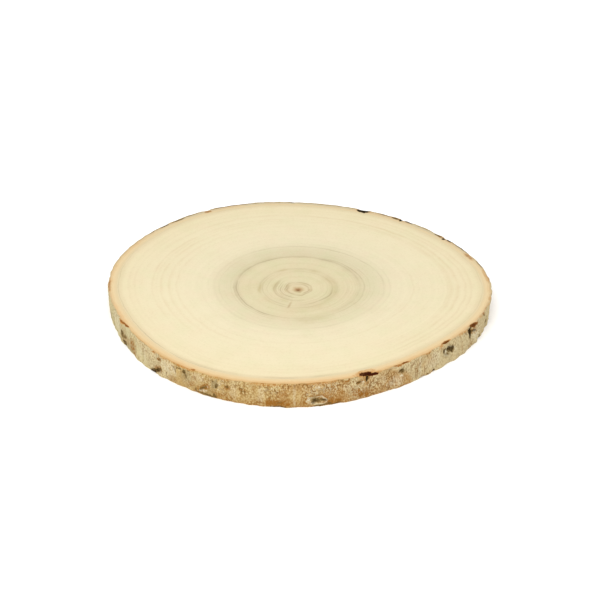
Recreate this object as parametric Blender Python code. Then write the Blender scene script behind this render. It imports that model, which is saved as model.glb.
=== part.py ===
# A round slice sawn straight across a young poplar stem, with its bark left on.
# It is one piece of wood: the bark grew on it, so nothing is fitted or joined.
# Metres, +Z up. The underside lies on Z = 0 with the middle of its box on the origin.
# Angles run round the rim from +X towards +Y, so 270 degrees faces the viewer.

import math
import random

import bmesh
import bpy
import numpy as np
from mathutils import Matrix

MM = 0.001
NAME = "wood_slice"

# The stem and the two saw cuts
MEAN_RADIUS = 96.1 * MM
THICKNESS = 12.5 * MM
EDGE = 0.25 * MM  # the sawn edges are this blunt
RIM = 4.2 * MM  # bark and the orange bast under it, inwards from the edge

# The mesh
SEGMENTS = 400
ROWS = 9

# Swellings of the stem: how many round it, height, and where one of them is highest
SWELLINGS = (
    (1, 1.9 * MM, 175),
    (2, 2.3 * MM, 173),
    (3, 2.3 * MM, 8),
    (4, 0.9 * MM, 84),
    (6, 0.5 * MM, 55),
)

# The sides lean: waves that the underside's outline has more than the top's, given in the same way
LEANS = (
    (1, 0.25 * MM, 260),
    (2, 0.35 * MM, 120),
    (3, 0.5 * MM, 43),
    (6, 0.6 * MM, 29),
)

# Lumps at the foot of the bark: where, width, how far they stand out
LUMPS = (
    (217, 20.0 * MM, 0.6 * MM),
    (303.5, 11.0 * MM, 0.7 * MM),
)

# Upright ribs in the bark: how many round the stem, and their height
RIBS = (
    (17, 0.16 * MM),
    (34, 0.13 * MM),
    (61, 0.13 * MM),
    (93, 0.11 * MM),
)
RIB_WANDER = 1.1  # radians that a rib drifts sideways over the thickness

# Scurf: low waves that cross the ribs at a slant
SCURF_WAVES = 14
SCURF = 0.05 * MM
SCURF_ROUND = (25, 120)  # waves round the stem
SCURF_UP = (0.6, 2.2)  # waves over the thickness

# Diamond-shaped bark pores with low lips: where round the rim, depth below the
# top, width, height, and how deep they sink
PORES = (
    (191, 6.4 * MM, 3.2 * MM, 3.0 * MM, 0.5 * MM),
    (203, 6.6 * MM, 4.5 * MM, 3.4 * MM, 0.6 * MM),
    (210, 8.6 * MM, 4.0 * MM, 3.0 * MM, 0.3 * MM),
    (224, 9.8 * MM, 6.0 * MM, 4.8 * MM, 1.0 * MM),
    (235, 5.6 * MM, 2.6 * MM, 4.8 * MM, 0.5 * MM),
    (243, 9.5 * MM, 8.0 * MM, 3.5 * MM, 0.7 * MM),
    (254, 4.4 * MM, 3.2 * MM, 2.6 * MM, 0.3 * MM),
    (275, 9.1 * MM, 9.0 * MM, 5.0 * MM, 1.1 * MM),
    (303, 3.6 * MM, 3.8 * MM, 2.8 * MM, 0.6 * MM),
    (323, 4.9 * MM, 6.8 * MM, 4.4 * MM, 1.1 * MM),
    (343, 1.8 * MM, 3.0 * MM, 2.4 * MM, 0.4 * MM),
    (346, 8.0 * MM, 4.2 * MM, 3.2 * MM, 0.4 * MM),
)

# Upright splits in the bark: where, the top and bottom end below the top, width, depth
SPLITS = (
    (291, 0.0 * MM, 3.0 * MM, 2.0 * MM, 0.8 * MM),
    (334, 1.0 * MM, 7.2 * MM, 2.2 * MM, 1.1 * MM),
)

# Flakes off the top edge of the bark: where, width, how far the edge is set in
TOP_FLAKES = (
    (6, 12.0 * MM, 0.4 * MM),
    (19, 12.0 * MM, 0.4 * MM),
    (32.5, 3.5 * MM, 0.6 * MM),
    (37, 9.5 * MM, 0.4 * MM),
    (51.3, 3.0 * MM, 0.7 * MM),
    (67, 9.0 * MM, 0.4 * MM),
    (121.8, 5.0 * MM, 0.5 * MM),
    (138, 8.5 * MM, 0.3 * MM),
    (179, 12.0 * MM, 0.3 * MM),
    (204, 11.0 * MM, 0.8 * MM),
    (239, 5.5 * MM, 0.5 * MM),
    (291, 12.5 * MM, 1.3 * MM),
    (303, 11.0 * MM, 0.7 * MM),
    (322, 9.0 * MM, 0.9 * MM),
    (336, 8.0 * MM, 0.9 * MM),
)
FLAKE_DROP = 0.6  # how far a flake lowers the edge, for each millimetre that it is set in
FLAKE_REACH = 2.2  # how far a flake reaches down the bark, for the same

# Nicks in the bottom edge: where, width, how far the edge is set in
BOTTOM_NICKS = (
    (205, 5.0 * MM, 0.8 * MM),
    (311, 5.0 * MM, 0.8 * MM),
    (340, 4.5 * MM, 0.5 * MM),
)

# The far side repeats what the near side shows, at places drawn by lot
FAR_SIDE = (8, 172)
FAR_PORES = 13
FAR_NICKS = 4
SEED = 11

BARK = (0.42, 0.33, 0.19, 1.0)
WOOD = (0.86, 0.76, 0.55, 1.0)


def clear_scene():
    for item in list(bpy.data.objects):
        bpy.data.objects.remove(item, do_unlink=True)


def finish(name, colour, roughness):
    material = bpy.data.materials.new(name)
    material.use_nodes = True
    shader = material.node_tree.nodes["Principled BSDF"]
    shader.inputs["Base Color"].default_value = colour
    shader.inputs["Roughness"].default_value = roughness
    shader.inputs["Metallic"].default_value = 0.0
    material.diffuse_color = colour
    return material


def round_blank():
    # A plain cylinder of the mean size, with rows down its side and a rim ring in each flat face.
    blank = bmesh.new()
    bmesh.ops.create_cone(
        blank,
        cap_ends=True,
        segments=SEGMENTS,
        radius1=MEAN_RADIUS,
        radius2=MEAN_RADIUS,
        depth=THICKNESS,
        matrix=Matrix.Translation((0, 0, THICKNESS / 2)),
    )
    uprights = [e for e in blank.edges if abs(e.verts[0].co.z - e.verts[1].co.z) > THICKNESS / 2]
    bmesh.ops.subdivide_edges(blank, edges=uprights, cuts=ROWS - 1, use_grid_fill=True)
    flat_faces = [f for f in blank.faces if len(f.verts) == SEGMENTS]
    bmesh.ops.inset_individual(blank, faces=flat_faces, thickness=RIM, use_even_offset=True)
    return blank


def waves(turn, table):
    # How far an outline stands out from a circle: a sum of waves round it.
    return sum(height * np.cos(count * (turn - math.radians(peak))) for count, height, peak in table)


def ribbed(turn, level, draw):
    # Upright ribs, each row of which drifts sideways with height at its own pace.
    relief = np.zeros_like(turn)
    for count, height in RIBS:
        phase = draw.uniform(0, math.tau)
        drift = draw.uniform(-RIB_WANDER, RIB_WANDER)
        swell = 0.7 + 0.3 * np.cos(3 * turn + draw.uniform(0, math.tau))
        relief += height * swell * np.cos(count * turn + phase + drift * level)
    return relief


def scurfy(turn, level, draw):
    # Many low slanting waves, which add up to shallow lumps with no direction of their own.
    relief = np.zeros_like(turn)
    for _ in range(SCURF_WAVES):
        count = draw.randint(*SCURF_ROUND)
        rise = draw.choice((-1, 1)) * draw.uniform(*SCURF_UP)
        relief += SCURF * np.cos(count * turn + math.tau * rise * level + draw.uniform(0, math.tau))
    return relief


def along_rim(turn, degrees):
    # Signed distance along the rim from the given angle.
    return MEAN_RADIUS * np.angle(np.exp(1j * (turn - math.radians(degrees))))


def pore(across, below, width, height, sink):
    # A hollow that turns into a low lip at its outline and fades out beyond it.
    reach = (2 * across / width) ** 2 + (2 * below / height) ** 2
    return sink * (reach - 1) * np.exp(-reach)


def split(across, below, start, end, width, sink):
    # A narrow valley, deepest halfway between its two ends.
    middle = (start + end) / 2
    reach = (2 * across / width) ** 2 + ((below - middle) / ((end - start) / 2)) ** 4
    return -sink * np.exp(-reach)


def bite(across, away, width, sink):
    # What is missing at an edge: a lens shape, deepest at the edge itself.
    reach = (2 * across / width) ** 2 + (away / (FLAKE_REACH * sink)) ** 2
    return sink * np.clip(1 - reach, 0, None)


def far_side_marks(draw):
    start, end = FAR_SIDE
    pores = []
    for n in range(FAR_PORES):
        degrees = start + (end - start) * (n + draw.uniform(0.15, 0.85)) / FAR_PORES
        width = draw.uniform(3.0, 7.5) * MM
        pores.append(
            (
                degrees,
                draw.uniform(2.5, 10.0) * MM,
                width,
                width * draw.uniform(0.5, 0.8),
                width * draw.uniform(0.11, 0.16),
            )
        )
    nicks = [
        (draw.uniform(start, end), draw.uniform(4.0, 7.0) * MM, draw.uniform(0.4, 0.9) * MM)
        for _ in range(FAR_NICKS)
    ]
    return pores, nicks


def grown(points):
    # Moves every point of the blank to its place on the real stem.
    draw = random.Random(SEED)
    far_pores, far_nicks = far_side_marks(draw)
    x, y, z = points.T
    turn = np.arctan2(y, x)
    inwards = MEAN_RADIUS - np.hypot(x, y)
    on_side = inwards < 0.5 * RIM
    on_top_edge = on_side & (z > THICKNESS - 0.01 * MM)
    on_bottom_edge = on_side & (z < 0.01 * MM)

    # Rows crowd towards the two sawn edges, where the bark is chipped.
    level = (1 - np.cos(math.pi * z / THICKNESS)) / 2
    below = THICKNESS * (1 - level)
    height = THICKNESS * level

    lower = waves(turn, LEANS)
    for degrees, width, out in LUMPS:
        lower = lower + out * np.exp(-((2 * along_rim(turn, degrees) / width) ** 2))
    radius = MEAN_RADIUS - inwards + waves(turn, SWELLINGS) + lower * (1 - level)
    relief = ribbed(turn, level, draw) + scurfy(turn, level, draw)
    for degrees, depth, width, tall, sink in (*PORES, *far_pores):
        relief += pore(along_rim(turn, degrees), below - depth, width, tall, sink)
    for degrees, start, end, width, sink in SPLITS:
        relief += split(along_rim(turn, degrees), below, start, end, width, sink)
    relief -= EDGE * (on_top_edge | on_bottom_edge)

    drop = np.zeros_like(turn)
    for degrees, width, sink in TOP_FLAKES:
        missing = bite(along_rim(turn, degrees), below, width, sink)
        relief -= missing
        drop += FLAKE_DROP * missing * on_top_edge
    for degrees, width, sink in (*BOTTOM_NICKS, *far_nicks):
        missing = bite(along_rim(turn, degrees), height, width, sink)
        relief -= missing
        drop -= FLAKE_DROP * missing * on_bottom_edge

    radius += relief * on_side
    shaped = np.column_stack((radius * np.cos(turn), radius * np.sin(turn), height - drop))
    shaped[:, :2] -= (shaped[:, :2].min(axis=0) + shaped[:, :2].max(axis=0)) / 2
    return shaped


def slice_of_wood(collection):
    blank = round_blank()
    mesh = bpy.data.meshes.new(NAME)
    blank.to_mesh(mesh)
    blank.free()

    points = np.empty(len(mesh.vertices) * 3)
    mesh.vertices.foreach_get("co", points)
    mesh.vertices.foreach_set("co", grown(points.reshape(-1, 3)).ravel())

    mesh.materials.append(finish("bark", BARK, 0.85))
    mesh.materials.append(finish("sawn wood", WOOD, 0.6))
    for face in mesh.polygons:
        face.material_index = 1 if len(face.vertices) == SEGMENTS else 0
    mesh.update()
    mesh.shade_smooth()
    mesh.set_sharp_from_angle(angle=math.radians(40))

    piece = bpy.data.objects.new(NAME, mesh)
    collection.objects.link(piece)
    return piece


def main():
    clear_scene()
    collection = bpy.data.collections.new(NAME)
    bpy.context.scene.collection.children.link(collection)
    slice_of_wood(collection)


main()
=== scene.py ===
import math
import random

import bpy
import numpy as np
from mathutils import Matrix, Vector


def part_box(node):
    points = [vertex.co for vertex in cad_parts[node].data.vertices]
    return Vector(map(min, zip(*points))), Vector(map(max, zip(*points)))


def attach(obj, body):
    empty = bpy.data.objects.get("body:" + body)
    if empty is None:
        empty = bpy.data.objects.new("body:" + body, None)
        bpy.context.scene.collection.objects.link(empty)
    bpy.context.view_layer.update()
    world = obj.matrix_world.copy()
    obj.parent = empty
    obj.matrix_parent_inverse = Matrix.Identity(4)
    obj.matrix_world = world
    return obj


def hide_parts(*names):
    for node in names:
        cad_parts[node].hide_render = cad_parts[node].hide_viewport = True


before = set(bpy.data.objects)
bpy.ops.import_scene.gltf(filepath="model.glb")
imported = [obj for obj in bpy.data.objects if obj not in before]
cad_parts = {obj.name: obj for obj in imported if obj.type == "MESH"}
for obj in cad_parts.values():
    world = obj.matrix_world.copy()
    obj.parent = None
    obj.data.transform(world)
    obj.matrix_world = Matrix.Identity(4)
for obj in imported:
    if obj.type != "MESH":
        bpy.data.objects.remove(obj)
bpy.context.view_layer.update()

# A round slice sawn from a poplar stem, lying flat. Two finished pieces take the place of the
# plain solid: the sawn wood inside, and the ring of bark and bast that grew round it.
# Angles run round the stem from +X towards +Y, so 270 degrees faces the camera.

mm = 0.001
tau = math.tau
lowCorner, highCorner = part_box("wood_slice")
topHeight = highCorner.z
print("frame loaded, the slice is", round(topHeight / mm, 2), "mm thick")

# The stem as the solid has it: the same outline, lean, ribs and marks
stem = {
    "meanRadius": 96.1 * mm,
    "swellings": (  # how many round the stem, height, where one is highest
        (1, 1.9 * mm, 175),
        (2, 2.3 * mm, 173),
        (3, 2.3 * mm, 8),
        (4, 0.9 * mm, 84),
        (6, 0.5 * mm, 55),
    ),
    "leans": (  # waves that the underside's outline has more than the top's
        (1, 0.25 * mm, 260),
        (2, 0.35 * mm, 120),
        (3, 0.5 * mm, 43),
        (6, 0.6 * mm, 29),
    ),
    "pith": (-0.58 * mm, -5.15 * mm),  # from the outline's own centre
    "barkWidth": 4.4 * mm,  # bark and bast together, on average
    "widerBy": 0.35 * mm,
    "widerTowards": 235,
    "lumps": (  # where the foot of the stem stands out, width, how far
        (217, 20 * mm, 0.6 * mm),
        (303.5, 11 * mm, 0.7 * mm),
    ),
}


# Noise and small helpers

def smooth(share):
    # The usual S curve from 0 to 1, level at both ends.
    share = np.clip(share, 0, 1)
    return share * share * (3 - 2 * share)


def patches(turn, up, cellsRound, cellsUp, seed):
    # Soft random patches, from -1 to 1: seeded numbers on a grid that closes round the stem,
    # blended by S curves.
    cells = np.random.default_rng(seed).uniform(-1, 1, (cellsUp + 2, cellsRound))
    across = turn / tau % 1 * cellsRound
    along = np.clip(up, 0, 1) * cellsUp
    col, row = np.floor(across).astype(int), np.floor(along).astype(int)
    shareAcross, shareAlong = smooth(across - col), smooth(along - row)
    nextCol = (col + 1) % cellsRound
    col = col % cellsRound
    below = cells[row, col] * (1 - shareAcross) + cells[row, nextCol] * shareAcross
    above = cells[row + 1, col] * (1 - shareAcross) + cells[row + 1, nextCol] * shareAcross
    return below * (1 - shareAlong) + above * shareAlong


def alongRim(turn, degrees):
    # Signed distance along the rim from the given angle.
    return stem["meanRadius"] * np.angle(np.exp(1j * (turn - math.radians(degrees))))


def waves(turn, table):
    # How far an outline stands out from a circle: a sum of waves round it.
    return sum(height * np.cos(count * (turn - math.radians(peak))) for count, height, peak in table)


def outline(turn, level):
    # Radius of the stem: a circle, its swellings, and the lean and lumps of its sides, from top to bottom.
    lower = waves(turn, stem["leans"])
    for degrees, width, height in stem["lumps"]:
        lower = lower + height * np.exp(-((2 * alongRim(turn, degrees) / width) ** 2))
    return stem["meanRadius"] + waves(turn, stem["swellings"]) + lower * (1 - level)


def barkWidth(turn):
    # The ring of bark and bast is a little wider on one side of the stem.
    return stem["barkWidth"] + stem["widerBy"] * np.cos(turn - math.radians(stem["widerTowards"]))


def gridFaces(rows, around, wraps):
    # Corner numbers of every cell of a grid whose columns close round the stem, and its rows too if
    # it wraps.
    row = np.arange(rows if wraps else rows - 1)[:, None]
    col = np.arange(around)[None]
    nextRow, nextCol = (row + 1) % rows, (col + 1) % around
    corners = (row * around + col, nextRow * around + col, nextRow * around + nextCol, row * around + nextCol)
    return np.stack(corners, axis=-1).reshape(-1, 4)


def newPiece(name, points, faces, attributes, materials, slotOfFace, sharpAngle):
    # Makes an object from points and faces, with numbers kept on its points for the finishes.
    mesh = bpy.data.meshes.new(name)
    mesh.from_pydata(points.tolist(), [], faces)
    for label, values in attributes.items():
        attribute = mesh.attributes.new(label, "FLOAT", "POINT")
        attribute.data.foreach_set("value", values.astype(np.float32).ravel())
    for material in materials:
        mesh.materials.append(material)
    mesh.polygons.foreach_set("material_index", slotOfFace)
    mesh.update()
    mesh.shade_smooth()
    mesh.set_sharp_from_angle(angle=math.radians(sharpAngle))
    piece = bpy.data.objects.new(name, mesh)
    bpy.context.scene.collection.objects.link(piece)
    print(name, "made,", len(mesh.polygons), "faces")
    return piece


# Node helpers

def linear(red, green, blue, light=1.0):
    # A colour as a screen shows it, from 0 to 255, made linear, and divided by the light that falls on it.
    def channel(value):
        value = value / 255
        return (value / 12.92 if value <= 0.04045 else ((value + 0.055) / 1.055) ** 2.4) / light
    return (channel(red), channel(green), channel(blue), 1.0)


def put(tree, kind, values=None, **settings):
    # Adds a node, sets its options and its unlinked inputs, and links the inputs that are given a socket.
    node = tree.nodes.new(kind)
    for key, value in settings.items():
        setattr(node, key, value)
    for key, value in (values or {}).items():
        if isinstance(value, bpy.types.NodeSocket):
            tree.links.new(value, node.inputs[key])
        else:
            node.inputs[key].default_value = value
    return node


def mathOf(tree, operation, *values):
    # One Math node. Its inputs are numbers or sockets, in order.
    return put(tree, "ShaderNodeMath", dict(enumerate(values)), operation=operation).outputs[0]


def times(tree, first, second):
    # The product of two numbers or sockets.
    return mathOf(tree, "MULTIPLY", first, second)


def vectorOf(tree, operation, first, second, output=0):
    # One Vector Math node with two inputs.
    return put(tree, "ShaderNodeVectorMath", {0: first, 1: second}, operation=operation).outputs[output]


def unitOf(tree, vector):
    # The vector at length 1.
    return put(tree, "ShaderNodeVectorMath", {0: vector}, operation="NORMALIZE").outputs[0]


def noiseOf(tree, vector, scale, detail):
    # Soft noise about one half.
    return put(tree, "ShaderNodeTexNoise", {"Vector": vector, "Scale": scale, "Detail": detail}).outputs[0]


def towardsOf(degrees):
    # The level unit vector that points to an angle round the stem.
    return (math.cos(math.radians(degrees)), math.sin(math.radians(degrees)), 0)


def rangeOf(tree, value, low, high, outLow=0.0, outHigh=1.0, curve="SMOOTHSTEP"):
    # Carries value from the span low..high to outLow..outHigh, and holds it at the ends.
    given = {"Value": value, "From Min": low, "From Max": high, "To Min": outLow, "To Max": outHigh}
    return put(tree, "ShaderNodeMapRange", given, interpolation_type=curve).outputs[0]


def mixOf(tree, share, first, second, blend="MIX"):
    # Mixes two colours by share.
    given = {0: share, 6: first, 7: second}
    return put(tree, "ShaderNodeMix", given, data_type="RGBA", blend_type=blend).outputs[2]


def rampOf(tree, value, stops):
    # A colour ramp from (place, colour) stops.
    ramp = put(tree, "ShaderNodeValToRGB", {"Fac": value})
    ramp.color_ramp.interpolation = "EASE"
    elements = ramp.color_ramp.elements
    elements[0].position, elements[0].color = stops[0]
    elements[1].position, elements[1].color = stops[-1]
    for place, colour in stops[1:-1]:
        element = elements.new(place)
        element.color = colour
    return ramp.outputs["Color"]


def newGroup(name, inputs, output):
    # An empty node group with one number output. Each input is a number, or a vector where its value is one.
    group = bpy.data.node_groups.new(name, "ShaderNodeTree")
    for label, value in inputs.items():
        kind = "NodeSocketVector" if isinstance(value, tuple) else "NodeSocketFloat"
        group.interface.new_socket(label, in_out="INPUT", socket_type=kind).default_value = value
    group.interface.new_socket(output, in_out="OUTPUT", socket_type="NodeSocketFloat")
    return group, group.nodes.new("NodeGroupInput").outputs, group.nodes.new("NodeGroupOutput").inputs


def groupNode(tree, group, values):
    # One use of a node group.
    return put(tree, "ShaderNodeGroup", values, node_tree=group).outputs[0]


def finishWith(tree, shader, colour, roughness, height, strength, depth):
    # Links a finish to its shader, with its fine relief as a bump of the given strength and depth.
    bump = put(tree, "ShaderNodeBump", {"Height": height, "Strength": strength, "Distance": depth})
    for label, value in (("Base Color", colour), ("Roughness", roughness), ("Normal", bump.outputs[0])):
        tree.links.new(value, shader.inputs[label])


# Effects that several finishes share

def makeGrowthRing():
    # One ring line: a ridge at At in the growth coordinate, e to the minus square of the distance from it,
    # soft inside and steep outside. It is strongest towards one side of the stem, and broken up along its
    # length. Spread is the cosine at which it fades out.
    group, given, result = newGroup(
        "growthRing",
        {
            "Growth": 0.0, "Coordinates": (0, 0, 0), "At": 30.0, "Width": 0.5,
            "Towards": (1, 0, 0), "Spread": 0.0, "Elsewhere": 0.3,
        },
        "Line",
    )
    away = mathOf(group, "DIVIDE", mathOf(group, "SUBTRACT", given["Growth"], given["At"]), given["Width"])
    steep = mathOf(group, "MULTIPLY_ADD", mathOf(group, "MAXIMUM", away, 0.0), 0.8, away)
    squared = times(group, steep, steep)
    ridge = mathOf(group, "EXPONENT", times(group, squared, -1.0))
    unit = unitOf(group, given["Coordinates"])
    facing = vectorOf(group, "DOT_PRODUCT", unit, given["Towards"], 1)
    side = rangeOf(group, facing, given["Spread"], 1.0, given["Elsewhere"], 1.0)
    patch = noiseOf(group, given["Coordinates"], 70.0, 2.0)
    broken = rangeOf(group, patch, 0.3, 0.7, 0.35, 1.25)
    line = times(group, times(group, ridge, side), broken)
    group.links.new(line, result["Line"])
    return group


def makeFineLines():
    # Many uneven lines side by side: one-dimensional noise along a coordinate, from 0 to 1.
    group, given, result = newGroup(
        "fineLines", {"Along": 0.0, "Per Millimetre": 0.5, "Offset": 0.0}, "Value",
    )
    place = mathOf(group, "MULTIPLY_ADD", given["Along"], given["Per Millimetre"], given["Offset"])
    noise = put(group, "ShaderNodeTexNoise", {"W": place, "Scale": 1.0, "Detail": 2.0}, noise_dimensions="1D")
    group.links.new(rangeOf(group, noise.outputs[0], 0.3, 0.7), result["Value"])
    return group


def makeFibreFleck():
    # Small flecks stretched one way, from 0 to 1: fine noise on coordinates squeezed by Stretch.
    group, given, result = newGroup(
        "fibreFleck", {"Coordinates": (0, 0, 0), "Stretch": (1, 1, 1), "Scale": 800.0}, "Value",
    )
    squeezed = vectorOf(group, "MULTIPLY", given["Coordinates"], given["Stretch"])
    noise = put(group, "ShaderNodeTexNoise", {"Vector": squeezed, "Scale": given["Scale"], "Detail": 3.0})
    group.links.new(rangeOf(group, noise.outputs[0], 0.25, 0.75), result["Value"])
    return group


def makePebbles():
    # Small rounded grains, 1 at a grain's middle and 0 in the gaps: the distance to scattered points,
    # in coordinates that noise has warped.
    group, given, result = newGroup(
        "pebbles",
        {"Coordinates": (0, 0, 0), "Stretch": (1, 1, 1), "Scale": 1000.0, "Warp": 0.0004},
        "Value",
    )
    fine = {"Vector": given["Coordinates"], "Scale": 700.0, "Detail": 2.0}
    noise = put(group, "ShaderNodeTexNoise", fine).outputs[1]
    centred = vectorOf(group, "SUBTRACT", noise, (0.5, 0.5, 0.5))
    shift = put(group, "ShaderNodeVectorMath", {0: centred, "Scale": given["Warp"]}, operation="SCALE")
    warped = vectorOf(group, "ADD", given["Coordinates"], shift.outputs[0])
    squeezed = vectorOf(group, "MULTIPLY", warped, given["Stretch"])
    scattered = {"Vector": squeezed, "Scale": given["Scale"]}
    cells = put(group, "ShaderNodeTexVoronoi", scattered).outputs["Distance"]
    group.links.new(rangeOf(group, cells, 0.25, 0.75, 1.0, 0.0), result["Value"])
    return group


def makeWrinkles():
    # Thin winding lines, 1 along the middle of each: where noise with some distortion passes one half.
    group, given, result = newGroup(
        "wrinkles", {"Coordinates": (0, 0, 0), "Scale": 420.0, "Width": 0.04}, "Value",
    )
    winding = {"Vector": given["Coordinates"], "Scale": given["Scale"], "Detail": 2.0, "Distortion": 1.2}
    noise = put(group, "ShaderNodeTexNoise", winding).outputs[0]
    off = mathOf(group, "ABSOLUTE", mathOf(group, "SUBTRACT", noise, 0.5))
    group.links.new(rangeOf(group, off, 0.0, given["Width"], 1.0, 0.0), result["Value"])
    return group


growthRing = makeGrowthRing()
fineLines = makeFineLines()
fibreFleck = makeFibreFleck()
pebbles = makePebbles()
wrinkles = makeWrinkles()


def startMaterial(name, roughness, gloss):
    # Gloss is how much of its usual reflection the surface keeps: dry wood and bark have little.
    material = bpy.data.materials.new(name)
    material.use_nodes = True
    shader = material.node_tree.nodes["Principled BSDF"]
    shader.inputs["Roughness"].default_value = roughness
    shader.inputs["Specular IOR Level"].default_value = gloss
    return material, material.node_tree, shader


def attributesOf(tree, *names):
    # The named numbers that are kept on the mesh's points.
    return [put(tree, "ShaderNodeAttribute", attribute_name=name).outputs["Fac"] for name in names]


def scabs(tree, colour, flake, mottle, low, high, light):
    # Dry brown scabs where the bark is knocked off: brown at the edges, near black where they are thickest.
    scab = times(tree, flake, rangeOf(tree, mottle, 0.3, 0.7, low, high))
    colour = mixOf(tree, rangeOf(tree, scab, 0.05, 0.7), colour, linear(160, 104, 46, light))
    return mixOf(tree, rangeOf(tree, scab, 0.5, 1.25), colour, linear(62, 20, 1, light))


# The sawn wood

wood = {
    "around": 720,
    "topRings": 92,
    "bottomRings": 34,
    "crowding": 1.25,  # rings of the mesh lie closer together near the pith
    "reach": 92,  # the growth coordinate at the cambium, about its radius in millimetres
    "light": 1.39,  # light on the top face, so that its colours below are as they look
    "wobbles": (  # waves round an inner ring, height in mm, phase
        (5, 0.34, 0.4),
        (7, 0.26, 2.1),
        (3, 0.20, 4.4),
        (11, 0.10, 1.2),
    ),
    "wobbleFades": 0.16,  # share of the radius over which the inner rings lose their wobble
    "pithHollow": 0.25 * mm,
    "pithRadius": 1.1 * mm,
    "checkDirection": 254,  # a fine drying crack near the heart
    "checkFrom": 9.5 * mm,
    "checkTo": 20 * mm,
    "checkFadesIn": 7 * mm,
    "checkFadesOut": 3 * mm,
    "checkWidth": 1.1 * mm,
    "checkDepth": 0.18 * mm,
    "heart": (1.5 * mm, 3.2 * mm),  # the middle of the heart's stain, from the pith
    "heartFades": (37 * mm, 55 * mm),
    "heartFrays": 2.5 * mm,
    "sandingWaves": 0.04 * mm,
    "sawMarks": 0.05 * mm,
    "sawSpacing": 2.3 * mm,
    "sawSwell": 17 * mm,
    "sawCentre": (0.31, -0.12),  # the middle of the blade's arcs, far off to one side
}

woodTones = (  # growth coordinate, colour as it looks
    (0.0, (134, 92, 48)),
    (0.9, (170, 131, 85)),
    (1.7, (202, 171, 124)),
    (2.6, (220, 199, 154)),
    (3.8, (230, 213, 171)),
    (8.5, (233, 220, 178)),
    (20, (231, 218, 176)),
    (30, (232, 219, 178)),
    (38, (238, 225, 187)),
    (48, (244, 231, 194)),
    (74, (245, 232, 193)),
    (88.5, (243, 228, 187)),
    (90.4, (239, 222, 180)),
    (92, (236, 217, 174)),
)

woodRings = (  # growth coordinate, width, darkness, strongest side, how far it spreads, share elsewhere
    (2.6, 0.7, 0.6, 278, 0, 0.1), (5.4, 0.5, 1.25, 10, 0.3, 0.1), (5.2, 0.5, 0.6, 85, 0.3, 0.1),
    (6, 0.5, 1.1, 190, 0.3, 0.1), (6.9, 0.6, 1, 45, 0.2, 0.15), (7.1, 0.6, 0.9, 135, 0.4, 0.1),
    (6.6, 0.5, 0.7, 310, 0.5, 0.1), (8.3, 0.4, 0.5, 160, -0.4, 0.3), (9.5, 0.5, 1.15, 205, 0.3, 0.1),
    (10.6, 0.4, 0.6, 185, 0, 0.2), (11.8, 0.4, 0.6, 215, 0, 0.2), (13, 0.6, 0.8, 228, 0.4, 0.15),
    (12.6, 0.8, 0.6, 175, 0.5, 0.1), (15.2, 0.4, 0.4, 300, -0.4, 0.3), (16.4, 0.4, 0.35, 210, -0.4, 0.3),
    (17.6, 0.6, 0.9, 319, 0.6, 0.1), (17.4, 0.5, 0.35, 25, -0.2, 0.2), (18.9, 0.6, 0.6, 215, 0, 0.3),
    (19.8, 0.6, 0.3, 20, 0.2, 0.1), (20.2, 0.6, 0.5, 120, 0, 0.15), (20.8, 0.5, 0.8, 272, 0.6, 0.2),
    (22, 0.4, 0.3, 290, 0.4, 0.2), (23.4, 0.5, 0.16, 300, -0.4, 0.4), (26, 0.6, 0.16, 60, -0.4, 0.4),
    (29.2, 0.5, 0.3, 5, 0.3, 0.1), (31, 0.6, 0.3, 10, 0, 0.1), (25.2, 0.4, 0.22, 330, -0.2, 0.3),
    (27.6, 0.4, 0.26, 350, 0.2, 0.2), (30.2, 0.4, 0.3, 0, 0.3, 0.15), (32.3, 0.5, 1.3, 214, 0.3, 0.16),
    (32.5, 0.55, 1, 100, 0.3, 0.05), (31.8, 0.4, 0.6, 40, 0.5, 0.1), (33.6, 0.4, 0.6, 22, 0.5, 0.1),
    (33.4, 1.2, 0.15, 60, -0.2, 0.2), (31.4, 0.4, 0.4, 345, 0.5, 0.1), (33.8, 0.5, 0.45, 325, 0.4, 0.2),
    (33.6, 0.6, 0.45, 205, 0.6, 0.1), (31.2, 0.4, 0.35, 165, 0.5, 0.05), (33, 0.4, 0.45, 160, 0.5, 0.05),
    (35.2, 0.4, 0.35, 250, 0.2, 0.3), (36.4, 0.4, 0.3, 10, 0, 0.2), (38.4, 0.4, 0.2, 300, -0.2, 0.3),
    (41.2, 0.5, 0.25, 190, 0, 0.3), (43.4, 0.5, 0.6, 65, 0.2, 0.1), (44, 0.9, 0.22, 250, -0.2, 0.3),
    (46.6, 0.5, 0.2, 35, 0.2, 0.2), (50.4, 0.6, 0.12, 240, 0, 0.2), (58.2, 0.9, 0.2, 310, -0.4, 0.3),
    (62.5, 1, 0.24, 185, 0, 0.2), (66.4, 1.1, 0.28, 160, 0, 0.3), (70.4, 1.2, 0.36, 155, 0.2, 0.2),
    (72.6, 0.8, 0.24, 120, 0.2, 0.2), (74.6, 1.2, 0.34, 145, 0.3, 0.2), (76.6, 1.8, 0.34, 15, 0.2, 0.2),
    (79.4, 1, 0.28, 95, 0.2, 0.2), (79.8, 1.2, 0.36, 10, 0.2, 0.2), (83.4, 0.8, 0.25, 350, 0, 0.3),
    (86.2, 0.8, 0.25, 15, 0.2, 0.2), (91.4, 0.3, 0.95, 236, 0.1, 0.4), (90.5, 0.26, 0.8, 262, 0.7, 0.05),
)

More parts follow.
